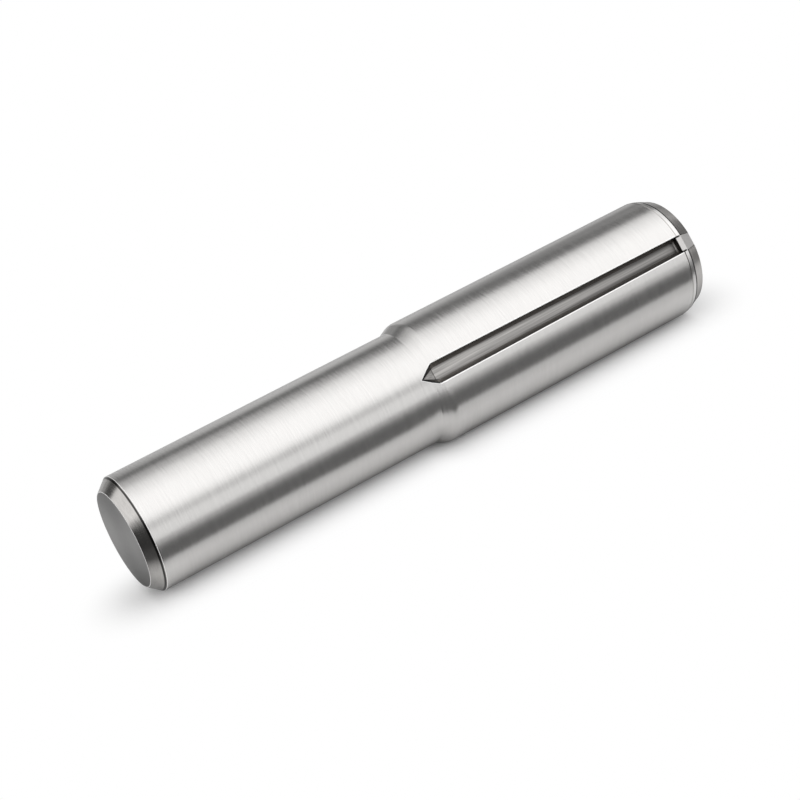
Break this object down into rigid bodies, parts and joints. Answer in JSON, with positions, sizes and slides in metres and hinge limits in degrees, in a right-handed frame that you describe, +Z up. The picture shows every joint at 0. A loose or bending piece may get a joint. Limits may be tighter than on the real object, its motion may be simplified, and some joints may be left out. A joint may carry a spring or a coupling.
{
  "type": "grooved pin",
  "caption": "Solid steel pin with a plain half and a slightly thicker half that has long pointed grooves, chamfered at both ends.",
  "frame": {"origin": "middle of the pin's bounding box, on the surface it lies on", "axes": "+X along the pin's axis from the plain end to the grooved end, +Z up; one groove faces down and the pin lies on its two edges"},
  "size_m": [0.055, 0.011, 0.0109],
  "materials": {
    "ground_steel": "finely ground, satin"
  },
  "bodies": {
    "root": {"grooved_pin": "ground_steel"}
  },
  "joints": []
}
